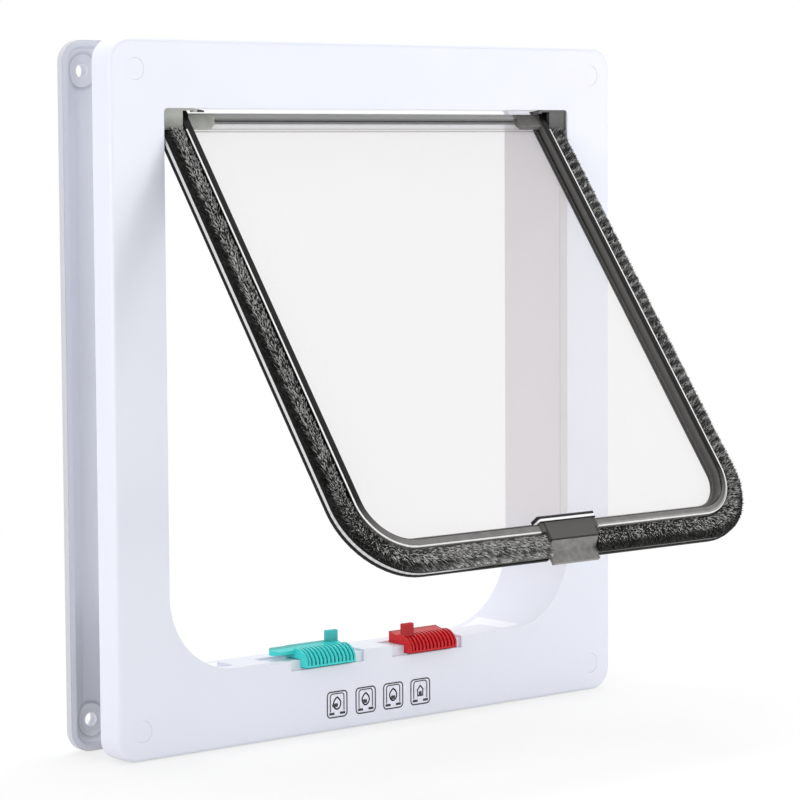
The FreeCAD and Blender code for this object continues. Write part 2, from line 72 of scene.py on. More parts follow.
# Where the flap lies: its hinge axis, and how far it stands open.
HINGE_Y = -23.2 * MM
HINGE_Z = 98.0 * MM
OPEN_ANGLE = math.radians(36.5)

# Outline of the brush in the closed flap, and its two root planes.
PILE_HALF = 94.5 * MM
PILE_LOW = -88.2 * MM
PILE_HIGH = 92.4 * MM
PILE_CORNER = 27.5 * MM
PILE_INNER_END = 11.1 * MM
FRONT_ROOT = -0.4 * MM
REAR_ROOT = -1.9 * MM

# The pile: its core, the curve it lies along, how its fibres stand and where they catch painted
# sheen, and its stretch of painted light left of the catch block.
CORE_SIDES = 20
CORE_CUTS = 160
CORE_WIDTH = 0.985
CORE_HEIGHT = 0.76
CORE_TONE = 0.01
CORE_BRIGHT = 0.16
CIRCLE_PULL = 0.5523
PATH_STEPS = 48
ROOT_HEIGHT = 0.60
TIP_HEIGHT = 1.04
END_GAP = 0.5 * MM
ROOT_SPAN = (-0.97, 0.80)
LEAN = (28, 27)
LEAN_SPREAD = 0.16
DRIFT = 0.62
DRIFT_SPREAD = 0.28
REACH_SPAN = (0.6, 1.0)
RIGHT_REACH = 0.7
THICK_SPAN = (0.7, 1.3)
FIBRE_TIP = 0.35
TURN_REACH = 45 * MM
TONE_REACH = 30 * MM
REAR_SHARE = 4
REAR_TONE = 0.05
CLUMPS = 220
WAVE = 0.6 * MM
PATCH_WAVE = 1.9 * MM
BRIGHT_START = 66 * MM
BRIGHT_GROW = 30 * MM

# Rail, measured in from the brush's outline: its two sides, the painted highlights on its crest,
# the painted light through its inner wall and foot, and the painted highlight on the panel's rim.
RAIL_OUTER = 8.5 * MM
RAIL_INNER = 11.9 * MM
LEFT_CREST = 0.48 * MM
RIGHT_CREST = 1.15 * MM
CREST_EDGE = 0.1 * MM
CREST_TOP = 94 * MM
RIGHT_CREST_FADE = (-45 * MM, -30 * MM)
WALL_EDGE = 0.2 * MM
FOOT_EDGE = 0.7 * MM
FOOT_FADE = (-46 * MM, -28 * MM)
PANEL_RIM = 0.35 * MM
PANEL_SMOKE = (1.6 * MM, 1.3 * MM)
RIM_FADE = (-56 * MM, -42 * MM)
SMOKE_GLOW = (0.0, 60 * MM)
HAZE = (0.03, 0.055)
EDGE_HAZE = 0.2
HEAD_HAZE = 0.35
LINE_HAZE = 0.8
SEEN_THROUGH = (0.985, 0.978, 0.977)

# Top of the flap: lugs with painted light through them, bar along the hinge with a painted shine on
# its top and a dark lower edge, and the panel's band and line under it.
LUG_NEAR = 70.5 * MM
LUG_FAR = 82.3 * MM
LUG_LOW = 90 * MM
BAR_SHINE = (97.2 * MM, 99.3 * MM)
BAR_LIGHT = 0.40
BAR_DARK = 96.95 * MM
HEAD_HALF = 82.6 * MM
HEAD_LINE = 4.6 * MM
HEAD_LENGTH = 5.0 * MM

# Inside of the tunnel, where painted shade darkens the white: half its width, its ceiling, its
# front end and where the painted shade fades in above its floor.
TUNNEL_HALF = 95.5 * MM
TUNNEL_TOP = 101.6 * MM
CEILING = 101.0 * MM
TUNNEL_FRONT = 28.3 * MM
TUNNEL_FADE = (-85 * MM, -50 * MM)

# The frames' outline, and the outdoor frame's edge with painted shade, its hollow side made paler
# with painted light, and its screw bosses with painted shade round them.
FRAME_HALF_WIDTH = 117.5 * MM
FRAME_HALF_HEIGHT = 125.0 * MM
FRAME_CORNER = 8.0 * MM
OUTER_EDGE = 0.2 * MM
HOLLOW_RIM = 3.0 * MM
HOLLOW_BACK = 4.6 * MM
LINER_HALF = 97 * MM
SCREW_X = 107.0 * MM
SCREW_Z = 114.5 * MM
BOSS_RADIUS = 5.75 * MM
BOSS_SHADE = 1.6 * MM
BOSS_DARK = 0.8

# The catch block's flat face, down the flap from its hinge, its dark edges and its painted
# highlight line.
BLOCK_FACE_TOP = 174.4 * MM
BLOCK_FACE_LOW = 181.2 * MM
BLOCK_EDGE = 0.25 * MM
BLOCK_LINE_TOP = 1.1 * MM
BLOCK_LINE_LOW = 0.3 * MM

# The hinge brackets' dark foot, and the tip of their arms.
BRACKET_FOOT = (95 * MM, 101 * MM)
BRACKET_BLUR = 4 * MM
BRACKET_DARK = 0.75
BRACKET_TIP = 80.5 * MM

# Ribbed grips of the two sliders: nearest ends from the middle, border, pitch and count of ribs,
# the part of a pitch that a rib fills, how far forward they lie, and their heights.
GREEN_GRIP = 13.8 * MM
RED_GRIP = 12.2 * MM
GRIP_BORDER = 0.9 * MM
GRIP_PITCH = 1.7667 * MM
GRIP_RIBS = 12
RIB_SHARE = (0.20, 0.80)
GRIP_FORWARD = 24.2 * MM
GRIP_LOW = -99.2 * MM
GRIP_TOP = -93.4 * MM
GRIP_LIP = -99.8 * MM
TAB_TOP = -89.5 * MM
GROOVE_SHADE = (0.22, 0.22, 0.22)
TAB_SHADE = (0.45, 0.25)
LIP_SHADE = 0.8

# How fine the clouds are in each finish, and how deep the grain of the mouldings is.
TONE_CLOUD = 26.0
GLOSS_CLOUD = 60.0
GRAIN_CLOUD = 900.0
GRAIN_DEPTH = 0.2 * MM
RAIL_CLOUD = 260.0
BLOCK_CLOUD = 420.0
BRACKET_CLOUD = 330.0
PANEL_CLOUD = 9.0

# Camera of the picture: place, heading, dip, lean and lens for the 36 mm wide sensor.
CAMERA_PLACE = (-0.711549, -0.887048, 0.086442)
CAMERA_HEADING = math.radians(40.06)
CAMERA_DIP = math.radians(4.69)
CAMERA_LEAN = math.radians(-0.32)
CAMERA_LENS = 137.316
SENSOR = 36.0

# Pictograms under the sill, on the room-side face.
FACE_Y = -28.6 * MM
ICON_CENTRES = (-20.5, -7.0, 6.2, 19.4)
ICON_Z = -115.3
ICON_INNER = (0.70, 0.80)
ICON_PRINT = 0.05 * MM
DROP_CORNERS = 20

# Floor, surroundings, the rays that see them white (outputs of the Light Path node), and the lamps,
# each with its place, aim, width, height and power.
FLOOR_SIZE = 8.0
FLOOR_GAP = 0.4 * MM
FLOOR_TONE = (0.90, 0.90, 0.90)
FLOOR_FADE = (0.10, 0.60, 0.65, 1.0)
AMBIENT_TONE = (0.98, 0.985, 1.0)
AMBIENT_STRENGTH = 0.62
CAMERA_RAY, GLOSSY_RAY, TRANSMISSION_RAY = 0, 3, 6
LAMPS = (
    ("key", (0.72, -0.85, -0.02), (0.05, 0, -0.08), 0.7, 0.7, 4.2),
    ("left_top", (-0.95, -0.42, 1.0), (0, 0, 0), 0.5, 0.9, 3.0),
    ("left", (-1.3, -0.42, -0.1), (0, 0, 0), 0.5, 0.9, 6.6),
    ("right_back", (1.2, 0.55, 0.25), (0, 0, 0), 0.3, 0.8, 4.5),
    ("top", (0.1, 0.3, 1.5), (0, 0, 0), 1.0, 0.6, 11.0),
)


class FlapSizes(bpy.types.PropertyGroup):
    """Sizes of what is added to the solids."""

    pile_width: FloatProperty(name="Pile width", description="Width of the brush round the flap",
                              default=8.5 * MM, unit="LENGTH")
    pile_height: FloatProperty(name="Pile height", description="Height of the brush over the panel",
                               default=2.3 * MM, unit="LENGTH")
    rear_height: FloatProperty(name="Rear pile height",
                               description="Height of the brush on the outdoor face",
                               default=1.6 * MM, unit="LENGTH")
    fibre_length: FloatProperty(name="Fibre length", description="Longest pile fibre",
                                default=3.2 * MM, unit="LENGTH")
    fibre_radius: FloatProperty(name="Fibre radius", description="Radius of a fibre at its root",
                                default=0.15 * MM, unit="LENGTH")
    fibre_count: IntProperty(name="Fibres", description="Fibres on one brush strip", default=8000)
    icon_width: FloatProperty(name="Pictogram width", description="Width of one pictogram",
                              default=9.7 * MM, unit="LENGTH")
    icon_height: FloatProperty(name="Pictogram height", description="Height of one pictogram",
                               default=9.9 * MM, unit="LENGTH")
    icon_line: FloatProperty(name="Line", description="Width of a pictogram's lines",
                             default=0.50 * MM, unit="LENGTH")


def colour(name, description, default):
    """One colour that a user may change."""
    return FloatVectorProperty(name=name, description=description, default=default,
                               subtype="COLOR", size=3, min=0.0, max=1.0)


class FlapColours(bpy.types.PropertyGroup):
    """Colours of the flap's materials."""

    white: colour("White plastic", "Both frames and the screw caps", (0.80, 0.82, 0.90))
    # Painted shade on the outdoor frame's outer edge and round its screw bosses.
    rim_side_shade: colour("Outdoor rim", "Edge of the outdoor frame", (0.58, 0.59, 0.63))
    # Painted light: the outdoor frame's hollow side, paler than the white.
    hollow: colour("Outdoor frame", "Hollow side of the outdoor frame", (0.93, 0.94, 0.99))
    # Painted shade on the tunnel's ceiling.
    ceiling: colour("Tunnel ceiling", "Top of the tunnel", (0.60, 0.61, 0.65))
    # Painted shade: the white inside the tunnel, darker and warmer where little light reaches.
    tunnel: colour("Tunnel", "White plastic inside the tunnel", (0.73, 0.70, 0.71))
    smoked: colour("Smoked plastic", "Rails and catch block", (0.008, 0.0075, 0.007))
    smoked_wall: colour("Smoked wall", "Rail where light shines through", (0.105, 0.100, 0.095))
    top_bar: colour("Top bar", "Bar along the hinge", (0.17, 0.17, 0.165))
    lit_rail: colour("Lit rail", "Foot of the rail and underside of the block", (0.32, 0.31, 0.30))
    # Painted light: both brackets are one plastic, the left one painted lighter where light shines
    # through it.
    left_bracket: colour("Left bracket", "Hinge bracket on the left", (0.44, 0.45, 0.41))
    right_bracket: colour("Right bracket", "Hinge bracket on the right", (0.10, 0.10, 0.098))
    clear: colour("Clear plastic", "Swinging panel", (0.78, 0.78, 0.80))
    # Painted highlight: the panel's lit rim, the rails' outer crest, the top bar's top and the
    # catch block's line.
    rim: colour("Panel rim", "Lit edge of the swinging panel", (0.90, 0.90, 0.90))
    pile_dark: colour("Pile shadow", "Roots of the pile", (0.004, 0.004, 0.0035))
    pile_light: colour("Pile light", "Lit tips of the pile", (0.95, 0.94, 0.92))
    green: colour("Green plastic", "Slider on the left", (0.050, 0.70, 0.68))
    red: colour("Red plastic", "Slider on the right", (0.66, 0.008, 0.014))
    steel: colour("Steel", "Pins and magnets", (0.56, 0.56, 0.57))
    ink: colour("Ink", "Printed pictograms", (0.020, 0.020, 0.024))


def sizes():
    """Sizes chosen in the scene."""
    return bpy.context.scene.flap_sizes


def hue(name):
    """One of the colours chosen in the scene."""
    return tuple(getattr(bpy.context.scene.flap_colours, name))


class Wire:
    """A shader socket that Python's operators extend with Math nodes."""

    def __init__(self, graph, socket):
        self.graph = graph
        self.socket = socket

    def _math(self, operation, *values):
        inputs = dict(enumerate(values))
        return self.graph.node("ShaderNodeMath", {"operation": operation}, inputs)

    def __add__(self, other):
        return self._math("ADD", self, other)

    def __sub__(self, other):
        return self._math("SUBTRACT", self, other)

    def __rsub__(self, other):
        return self._math("SUBTRACT", other, self)

    def __mul__(self, other):
        return self._math("MULTIPLY", self, other)

    def size(self):
        """Value without its sign."""
        return self._math("ABSOLUTE", self)

    def least(self, other):
        """The smaller of two values."""
        return self._math("MINIMUM", self, other)

    def most(self, other):
        """The larger of two values."""
        return self._math("MAXIMUM", self, other)

    def root(self):
        """Square root."""
        return self._math("SQRT", self)

    def below(self, limit):
        """One under a limit, else nothing."""
        return self._math("LESS_THAN", self, limit)

    def above(self, limit):
        """One over a limit, else nothing."""
        return self._math("GREATER_THAN", self, limit)

    def between(self, low, high):
        """One between two limits, else nothing."""
        return self.above(low) * self.below(high)

    def repeat(self):
        """The part after the decimal point."""
        return self._math("FRACT", self)

    __radd__ = __add__
    __rmul__ = __mul__


class Graph:
    """Node tree of one material, built one node at a time."""

    def __init__(self, owner):
        owner.use_nodes = True
        self.tree = owner.node_tree
        self.tree.nodes.clear()

    def node(self, kind, settings=None, inputs=None, output=0):
        """Adds a node, sets it up, feeds its sockets and returns one of its outputs."""
        made = self.tree.nodes.new(kind)
        for key, value in (settings or {}).items():
            setattr(made, key, value)
        for key, value in (inputs or {}).items():
            socket = made.inputs[key]
            if isinstance(value, Wire):
                self.tree.links.new(value.socket, socket)
            elif socket.type == "RGBA" and len(value) == 3:
                socket.default_value = (*value, 1.0)
            else:
                socket.default_value = value
        return Wire(self, made.outputs[output])

    def mix(self, factor, first, second, blend="MIX"):
        """Colour between two colours."""
        return self.node("ShaderNodeMix", {"data_type": "RGBA", "blend_type": blend},
                         {0: factor, 6: first, 7: second}, 2)

    def noise(self, vector, scale, detail=3.0):
        """Soft cloudy value from 0 to 1."""
        return self.node("ShaderNodeTexNoise", {},
                         {"Vector": vector, "Scale": scale, "Detail": detail})

    def ramp(self, value, low, high, start=0.0, end=1.0):
        """Value moved from one range to another and kept in it."""
        return self.node("ShaderNodeMapRange", {},
                         {0: value, 1: low, 2: high, 3: start, 4: end})

    def place(self):
        """Object coordinates."""
        return self.node("ShaderNodeTexCoord", output=3)

    def axes(self, vector):
        """The three parts of a vector."""
        first = self.node("ShaderNodeSeparateXYZ", {}, {0: vector})
        return [Wire(self, socket) for socket in first.socket.node.outputs]

    def flap_down(self):
        """Distance down the flap from its hinge."""
        x, y, z = self.axes(self.place())
        return (HINGE_Y - y) * math.sin(OPEN_ANGLE) + (HINGE_Z - z) * math.cos(OPEN_ANGLE)

    def past(self, across, along, corner):
        """Distance out past a rounded outline, from the distances past its corner's centre."""
        outside = (across.most(0.0) * across.most(0.0) + along.most(0.0) * along.most(0.0)).root()
        return outside + across.most(along).least(0.0) - corner

    def flap_depth(self):
        """Distance out past the brush's outline, in the flap's own plane; negative inside it."""
        across = self.axes(self.place())[0].size() - (PILE_HALF - PILE_CORNER)
        along = self.flap_down() - (HINGE_Z - PILE_LOW - PILE_CORNER)
        return self.past(across, along, PILE_CORNER)

    def background_rays(self):
        """One on rays from the camera and on those that metal and glass send on, else nothing."""
        seen, mirrored, through = [self.node("ShaderNodeLightPath", output=output)
                                   for output in (CAMERA_RAY, GLOSSY_RAY, TRANSMISSION_RAY)]
        return (seen + mirrored + through).least(1.0)

    def finish(self, surface, kind="ShaderNodeOutputMaterial"):
        """Wires a shader to the tree's output node."""
        self.tree.links.new(surface.socket, self.tree.nodes.new(kind).inputs["Surface"])


def tinted(tint, amount):
    """A colour scaled evenly."""
    return tuple(channel * amount for channel in tint)


def material(name, tint, roughness, spread=0.06, grain=0.02, coat=0.0, shade=0.94, metallic=0.0,
             specular=0.5, paint=None):
    """Moulded finish: cloudy tone, uneven gloss and a fine grain in the surface."""
    made = bpy.data.materials.new(name)
    graph = Graph(made)
    place = graph.place()
    cloud = graph.noise(place, TONE_CLOUD)
    base = graph.mix(cloud, tinted(tint, shade), tint)
    if paint:
        base = paint(graph, base)
    gloss = graph.ramp(graph.noise(place, GLOSS_CLOUD), 0.3, 0.7, roughness - spread / 2,
                       roughness + spread / 2)
    bump = graph.node("ShaderNodeBump", {}, {
        "Strength": grain, "Distance": GRAIN_DEPTH,
        "Height": graph.noise(place, GRAIN_CLOUD, 2.0)})
    graph.finish(graph.node("ShaderNodeBsdfPrincipled", {}, {
        "Base Color": base, "Roughness": gloss, "Normal": bump, "Coat Weight": coat,
        "Coat Roughness": 0.05, "Metallic": metallic, "Specular IOR Level": specular}))
    return made


def tunnel_paint(graph, base):
    """Painted shade inside the tunnel: a warmer tone where little of the cool light reaches, darker
    still on its ceiling.
    """
    x, y, z = graph.axes(graph.place())
    inside = x.size().below(TUNNEL_HALF) * z.size().below(TUNNEL_TOP)
    inside = inside * (y * -1).below(TUNNEL_FRONT) * graph.ramp(z, *TUNNEL_FADE)
    above = inside * z.above(CEILING)
    return graph.mix(above, graph.mix(inside, base, hue("tunnel")), hue("ceiling"))


def outdoor_paint(graph, base):
    """The tunnel's painted shade, painted shade on the outer edge and round the screw bosses, and a
    hollow side made paler with painted light.
    """
    x, y, z = graph.axes(graph.place())
    depth = graph.past(x.size() - (FRAME_HALF_WIDTH - FRAME_CORNER),
                       z.size() - (FRAME_HALF_HEIGHT - FRAME_CORNER), FRAME_CORNER)
    across, along = x.size() - SCREW_X, z.size() - SCREW_Z
    ring = (across * across + along * along).root()
    inside = y.below(HOLLOW_BACK) * depth.below(-HOLLOW_RIM)
    inside = inside * x.size().most(z.size()).above(LINER_HALF)
    # Painted shade in a ring round each screw boss.
    shade = graph.ramp(ring, BOSS_RADIUS, BOSS_RADIUS + BOSS_SHADE, BOSS_DARK, 0.0) * inside
    # Painted light: the hollow side paler than the white around it.
    base = graph.mix(inside, tunnel_paint(graph, base), hue("hollow"))
    base = graph.mix(shade * ring.above(BOSS_RADIUS), base, hue("rim_side_shade"))
    # Painted shade on the frame's outer edge.
    return graph.mix(depth.above(-OUTER_EDGE), base, hue("rim_side_shade"))


def rail_paint(graph, base):
    """Painted highlight on the outer crest, and painted light through the inner wall, foot, lugs
    and top bar, whose lower edge is dark.
    """
    x, y, z = graph.axes(graph.place())
    depth = graph.flap_depth()
    cloud = graph.noise(graph.place(), RAIL_CLOUD)
    # Painted light where it shines through the inner wall, the foot and the lugs.
    wall = graph.ramp(depth, -RAIL_INNER, -RAIL_INNER + WALL_EDGE, 1.0, 0.0)
    low = graph.ramp(z, *FOOT_FADE, 1.0, 0.0) * depth.above(-RAIL_INNER + FOOT_EDGE)
    lug = x.size().between(LUG_NEAR, LUG_FAR) * z.above(LUG_LOW)
    bar = x.size().below(LUG_NEAR) * z.above(LUG_LOW)
    lit_lug = graph.mix(x.above(0.0), hue("left_bracket"), hue("lit_rail"))
    base = graph.mix(wall, base, hue("smoked_wall"))
    base = graph.mix(low * (cloud * 0.5 + 0.5), base, hue("lit_rail"))
    base = graph.mix(lug * (cloud * 0.6 + x.below(0.0) * 0.6), base, lit_lug)
    # Painted shine on the top bar's top, and its lower edge dark.
    upper = graph.mix(graph.ramp(z, *BAR_SHINE, 0.0, BAR_LIGHT), hue("top_bar"), hue("rim"))
    upper = graph.mix(z.below(BAR_DARK), upper, hue("smoked"))
    base = graph.mix(bar, base, upper)
    # Painted highlight along the outer crest.
    left = depth.between(-RAIL_OUTER - LEFT_CREST, -RAIL_OUTER - CREST_EDGE)
    right = depth.above(-RAIL_OUTER - RIGHT_CREST) * x.above(0.0)
    right = right * graph.ramp(z, *RIGHT_CREST_FADE)
    crest = left.most(right) * z.below(CREST_TOP) * (0.75 + cloud * 0.4).least(1.0)
    return graph.mix(crest, base, hue("rim"))


def block_paint(graph, base):
    """Dark band with a painted highlight line at its foot, grey face, dark edge and an underside
    made paler with painted light.
    """
    down = graph.flap_down()
    cloud = graph.noise(graph.place(), BLOCK_CLOUD)
    # Painted highlight: the bright line at the foot of the band.
    line = down.between(BLOCK_FACE_TOP - BLOCK_LINE_TOP, BLOCK_FACE_TOP - BLOCK_LINE_LOW)
    base = graph.mix(down.below(BLOCK_FACE_TOP), base, hue("smoked"))
    base = graph.mix(line, base, hue("rim"))
    # Painted light on the underside, mottled.
    base = graph.mix(down.above(BLOCK_FACE_LOW) * (cloud * 0.9 + 0.1), base, hue("lit_rail"))
    edges = down.between(BLOCK_FACE_LOW - BLOCK_EDGE, BLOCK_FACE_LOW + BLOCK_EDGE)
    return graph.mix(edges, base, hue("smoked"))


def bracket_paint(graph, base):
    """Darker towards the foot and at the arm's tip."""
    x, y, z = graph.axes(graph.place())
    cloud = graph.noise(graph.place(), BRACKET_CLOUD)
    foot = graph.ramp(z + cloud * BRACKET_BLUR, *BRACKET_FOOT, BRACKET_DARK, 0.0)
    dark = (foot + x.size().below(BRACKET_TIP)).least(1.0)
    return graph.mix(dark, base, hue("smoked"))


def grip_paint(graph, base):
    """Shade in the grooves between a slider's ribs, on its tab and on its lower lip."""
    x, y, z = graph.axes(graph.place())
    start = x.size() - x.below(0.0) * (GREEN_GRIP - RED_GRIP) - RED_GRIP - GRIP_BORDER
    groove = 1 - (start * (1 / GRIP_PITCH)).repeat().between(*RIB_SHARE)
    zone = start.between(0.0, GRIP_PITCH * GRIP_RIBS) * (y * -1).above(GRIP_FORWARD)
    zone = zone * z.between(GRIP_LOW, GRIP_TOP)
    tab = graph.ramp(z, GRIP_TOP, TAB_TOP, *TAB_SHADE) * z.above(GRIP_TOP)
    lip = z.below(GRIP_LIP)
    deep = graph.mix(1.0, base, GROOVE_SHADE, "MULTIPLY")
    return graph.mix((groove * zone).most(tab).most(lip * LIP_SHADE), base, deep)


def clear_material():
    """Polished clear sheet: see-through in the window, smoked under the rail with painted light
    through it on the right, and a painted highlight at its rim.
    """
    made = bpy.data.materials.new("clear_plastic")
    graph = Graph(made)
    x, y, z = graph.axes(graph.place())
    depth = graph.flap_depth()
    down = graph.flap_down()
    haze = graph.ramp(graph.noise(graph.place(), PANEL_CLOUD), 0.35, 0.65, *HAZE)
    slant = graph.node("ShaderNodeLayerWeight", {}, {"Blend": 0.35})
    smoke_start, smoke_full = PANEL_SMOKE
    rail = graph.ramp(depth, -RAIL_INNER - smoke_start, -RAIL_INNER - smoke_full)
    # Painted highlight on the panel's rim, fading out towards the right.
    rim = graph.ramp(depth, -PANEL_RIM - WALL_EDGE, -PANEL_RIM)
    # Painted light through the smoked strip on the right, strongest low down.
    lit = graph.ramp(z, *SMOKE_GLOW, 1.0, 0.15) * x.above(0.0)
    head = down.below(HEAD_LENGTH) * x.size().below(HEAD_HALF)
    line = down.above(HEAD_LINE) * head
    tone = graph.mix(lit, hue("smoked"), hue("smoked_wall"))
    tone = graph.mix(rail, hue("clear"), tone)
    tone = graph.mix(rim * graph.ramp(x, *RIM_FADE, 1.0, 0.0), tone, hue("rim"))
    tone = graph.mix(line, tone, hue("lit_rail"))
    film = graph.node("ShaderNodeBsdfPrincipled", {}, {
        "Base Color": tone, "Roughness": 0.07, "Specular IOR Level": 0.4})
    open_part = graph.node("ShaderNodeBsdfTransparent", {}, {"Color": SEEN_THROUGH})
    factor = (haze + slant * EDGE_HAZE).most(rail).most(head * HEAD_HAZE).most(line * LINE_HAZE)
    graph.finish(graph.node("ShaderNodeMixShader", {}, {0: factor, 1: open_part, 2: film}))
    return made


def pile_material():
    """Brush pile: each fibre has its own tone, with painted shade at the root and painted light at
    the tip.
    """
    made = bpy.data.materials.new("brush_pile")
    graph = Graph(made)
    tone = graph.node("ShaderNodeAttribute", {"attribute_name": "tone"}, output=2)
    base = graph.mix(tone, hue("pile_dark"), hue("pile_light"))
    graph.finish(graph.node("ShaderNodeBsdfPrincipled", {}, {
        "Base Color": base, "Roughness": 0.5, "Specular IOR Level": 0.08}))
    return made


def deselect():
    """Nothing stays selected."""
    bpy.ops.object.select_all(action="DESELECT")


def choose(*objects):
    """Only these objects are selected, and the first is active."""
    deselect()
    for item in objects:
        item.select_set(True)
    bpy.context.view_layer.objects.active = objects[0]


def primitive(kind, name, **settings):
    """A fresh primitive, alone in the selection."""
    deselect()
    getattr(bpy.ops.mesh, "primitive_" + kind + "_add")(**settings)
    made = bpy.context.object
    made.name = name
    return made


@contextmanager
def editing(item, pick=None, kind="FACE"):
    """Edit mode on one object with the picked elements selected."""
    choose(item)
    bpy.ops.object.mode_set(mode="EDIT")
    bpy.ops.mesh.select_mode(type=kind)
    bpy.ops.mesh.select_all(action="DESELECT" if pick else "SELECT")
    if pick:
        work = bmesh.from_edit_mesh(item.data)
        elements = {"FACE": work.faces, "EDGE": work.edges, "VERT": work.verts}[kind]
        for element in elements:
            if pick(element):
                element.select_set(True)
        bmesh.update_edit_mesh(item.data)
    yield
    bpy.ops.object.mode_set(mode="OBJECT")


def settle(item):
    """Puts the object's place into its mesh."""
    choose(item)
    bpy.ops.object.transform_apply(location=True, rotation=True, scale=True)


def modify(item, kind, **settings):
    """Adds a modifier and applies it."""
    choose(item)
    added = item.modifiers.new(kind.lower(), kind)
    for key, value in settings.items():
        setattr(added, key, value)
    bpy.ops.object.modifier_apply(modifier=added.name)


def join(name, items):
    """Joins objects into one."""
    choose(*items)
    bpy.ops.object.join()
    items[0].name = name
    items[0].data.name = name
    return items[0]


def outward(item):
    """Faces point outwards."""
    with editing(item):
        bpy.ops.mesh.normals_make_consistent(inside=False)


def dress(item, finish):
    """One material all over a piece made here."""
    item.data.materials.clear()
    item.data.materials.append(finish)


def dress_nodes(finish, *names):
    """One material in the slots of several of the frame's nodes."""
    for name in names:
        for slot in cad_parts[name].material_slots:
            slot.material = finish


class CATFLAP_OT_frames(bpy.types.Operator):
    """Dresses both frames and the screw caps in glossy white plastic"""

    bl_idname = "catflap.frames"
    bl_label = "White frames"

    def execute(self, context):
        white = material("white_plastic", hue("white"), 0.32, grain=0.01, coat=0.1,
                         shade=0.985, paint=tunnel_paint)
        outdoor = material("outdoor_white_plastic", hue("white"), 0.32, grain=0.01,
                           coat=0.1, shade=0.985, paint=outdoor_paint)
        dress_nodes(white, "front_frame", "screw_caps")
        dress_nodes(outdoor, "rear_frame")
        return {"FINISHED"}


class CATFLAP_OT_trim(bpy.types.Operator):
    """Dresses the smoked rails, catch block and hinge brackets"""

    bl_idname = "catflap.trim"
    bl_label = "Smoked trim"

    def execute(self, context):
        smoked = material("smoked_plastic", hue("smoked"), 0.16, grain=0.05, shade=0.7,
                          specular=0.18, paint=rail_paint)
        block = material("block_plastic", hue("smoked_wall"), 0.2, grain=0.05, shade=0.6,
                         specular=0.3, paint=block_paint)
        dress_nodes(smoked, "flap_surround", "flap_rear_rail")
        dress_nodes(block, "catch_block")
        for word in ("left", "right"):
            # One plastic in both brackets: the left one painted lighter where light shines through
            # it, the right one left dark.
            tint = hue(word + "_bracket")
            dress_nodes(material(word + "_bracket_plastic", tint, 0.3, grain=0.04, shade=0.7,
                                 specular=0.3, paint=bracket_paint), "hinge_bracket_" + word)
        return {"FINISHED"}


class CATFLAP_OT_panel(bpy.types.Operator):
    """Dresses the swinging panel in clear plastic"""

    bl_idname = "catflap.panel"
    bl_label = "Clear panel"

    def execute(self, context):
        dress_nodes(clear_material(), "flap_panel")
        return {"FINISHED"}


class CATFLAP_OT_sliders(bpy.types.Operator):
    """Dresses the green and the red lock slider"""

    bl_idname = "catflap.sliders"
    bl_label = "Lock sliders"

    def execute(self, context):
        green = material("green_plastic", hue("green"), 0.28, shade=0.85, specular=0.35,
                         paint=grip_paint)
        red = material("red_plastic", hue("red"), 0.25, shade=0.8, specular=0.3,
                       paint=grip_paint)
        dress_nodes(green, "green_slider")
        dress_nodes(red, "red_slider")
        return {"FINISHED"}


class CATFLAP_OT_metal(bpy.types.Operator):
    """Dresses the hinge pins and the magnets"""

    bl_idname = "catflap.metal"
    bl_label = "Pins and magnets"

    def execute(self, context):
        steel = material("steel", hue("steel"), 0.32, metallic=1.0, shade=0.9)
        dress_nodes(steel, "hinge_pin_left", "hinge_pin_right", "flap_magnet", "sill_magnet")
        return {"FINISHED"}


def pile_path():
    """Curve down the right side of the brush, round its corner and in to the catch block."""
    half = sizes().pile_width / 2
    x = PILE_HALF - half
    z = PILE_LOW + half
    radius = PILE_CORNER - half
    pull = radius * CIRCLE_PULL
    points = [
        ((x, PILE_HIGH), (x, PILE_HIGH), (x, PILE_HIGH - 0.01)),
        ((x, z + radius), (x, z + radius + 0.01), (x, z + radius - pull)),
        ((x - radius, z), (x - radius + pull, z), (x - radius - 0.01, z)),
        ((PILE_INNER_END, z), (PILE_INNER_END + 0.01, z), (PILE_INNER_END, z)),
    ]
    data = bpy.data.curves.new("pile_path", "CURVE")
    data.dimensions = "2D"
    data.resolution_u = PATH_STEPS
    spline = data.splines.new("BEZIER")
    spline.bezier_points.add(len(points) - 1)
    for point, (place, before, after) in zip(spline.bezier_points, points):
        point.handle_left_type = point.handle_right_type = "FREE"
        point.co = (*place, 0)
        point.handle_left = (*before, 0)
        point.handle_right = (*after, 0)
    path = bpy.data.objects.new("pile_path", data)
    bpy.context.scene.collection.objects.link(path)
    straight = (PILE_HIGH - z - radius) + (x - radius - PILE_INNER_END)
    return path, straight + math.pi / 2 * radius, PILE_HIGH - z - radius, radius


def clamp(value, low=0.0):
    """Value kept between a lower limit and one."""
    return max(low, min(1.0, value))


def dome(across, face):
    """Height of the pile as a share of its full height, from the rail side to the outer edge."""
    if face < 0:
        return 1.3 - 0.25 * abs(across) ** 8
    if across < -0.3:
        return 0.80 + 0.20 * math.sin((across + 1) / 0.7 * math.pi / 2)
    return 0.18 + 0.82 * math.cos((across + 0.3) / 1.3 * math.pi / 2)


def brightness(along, across, length, side, face):
    """Painted light on the pile left of the catch block, with a darker band along its middle."""
    if side > 0 or face < 0:
        return 0.0
    near = clamp((along - length + BRIGHT_START) / BRIGHT_GROW)
    band = 1.0 - 0.85 * math.exp(-((across - 0.15) / 0.28) ** 2)
    patch = 0.75 + 0.25 * math.sin(along / PATCH_WAVE + 2.5 * across)
    return near * band * patch


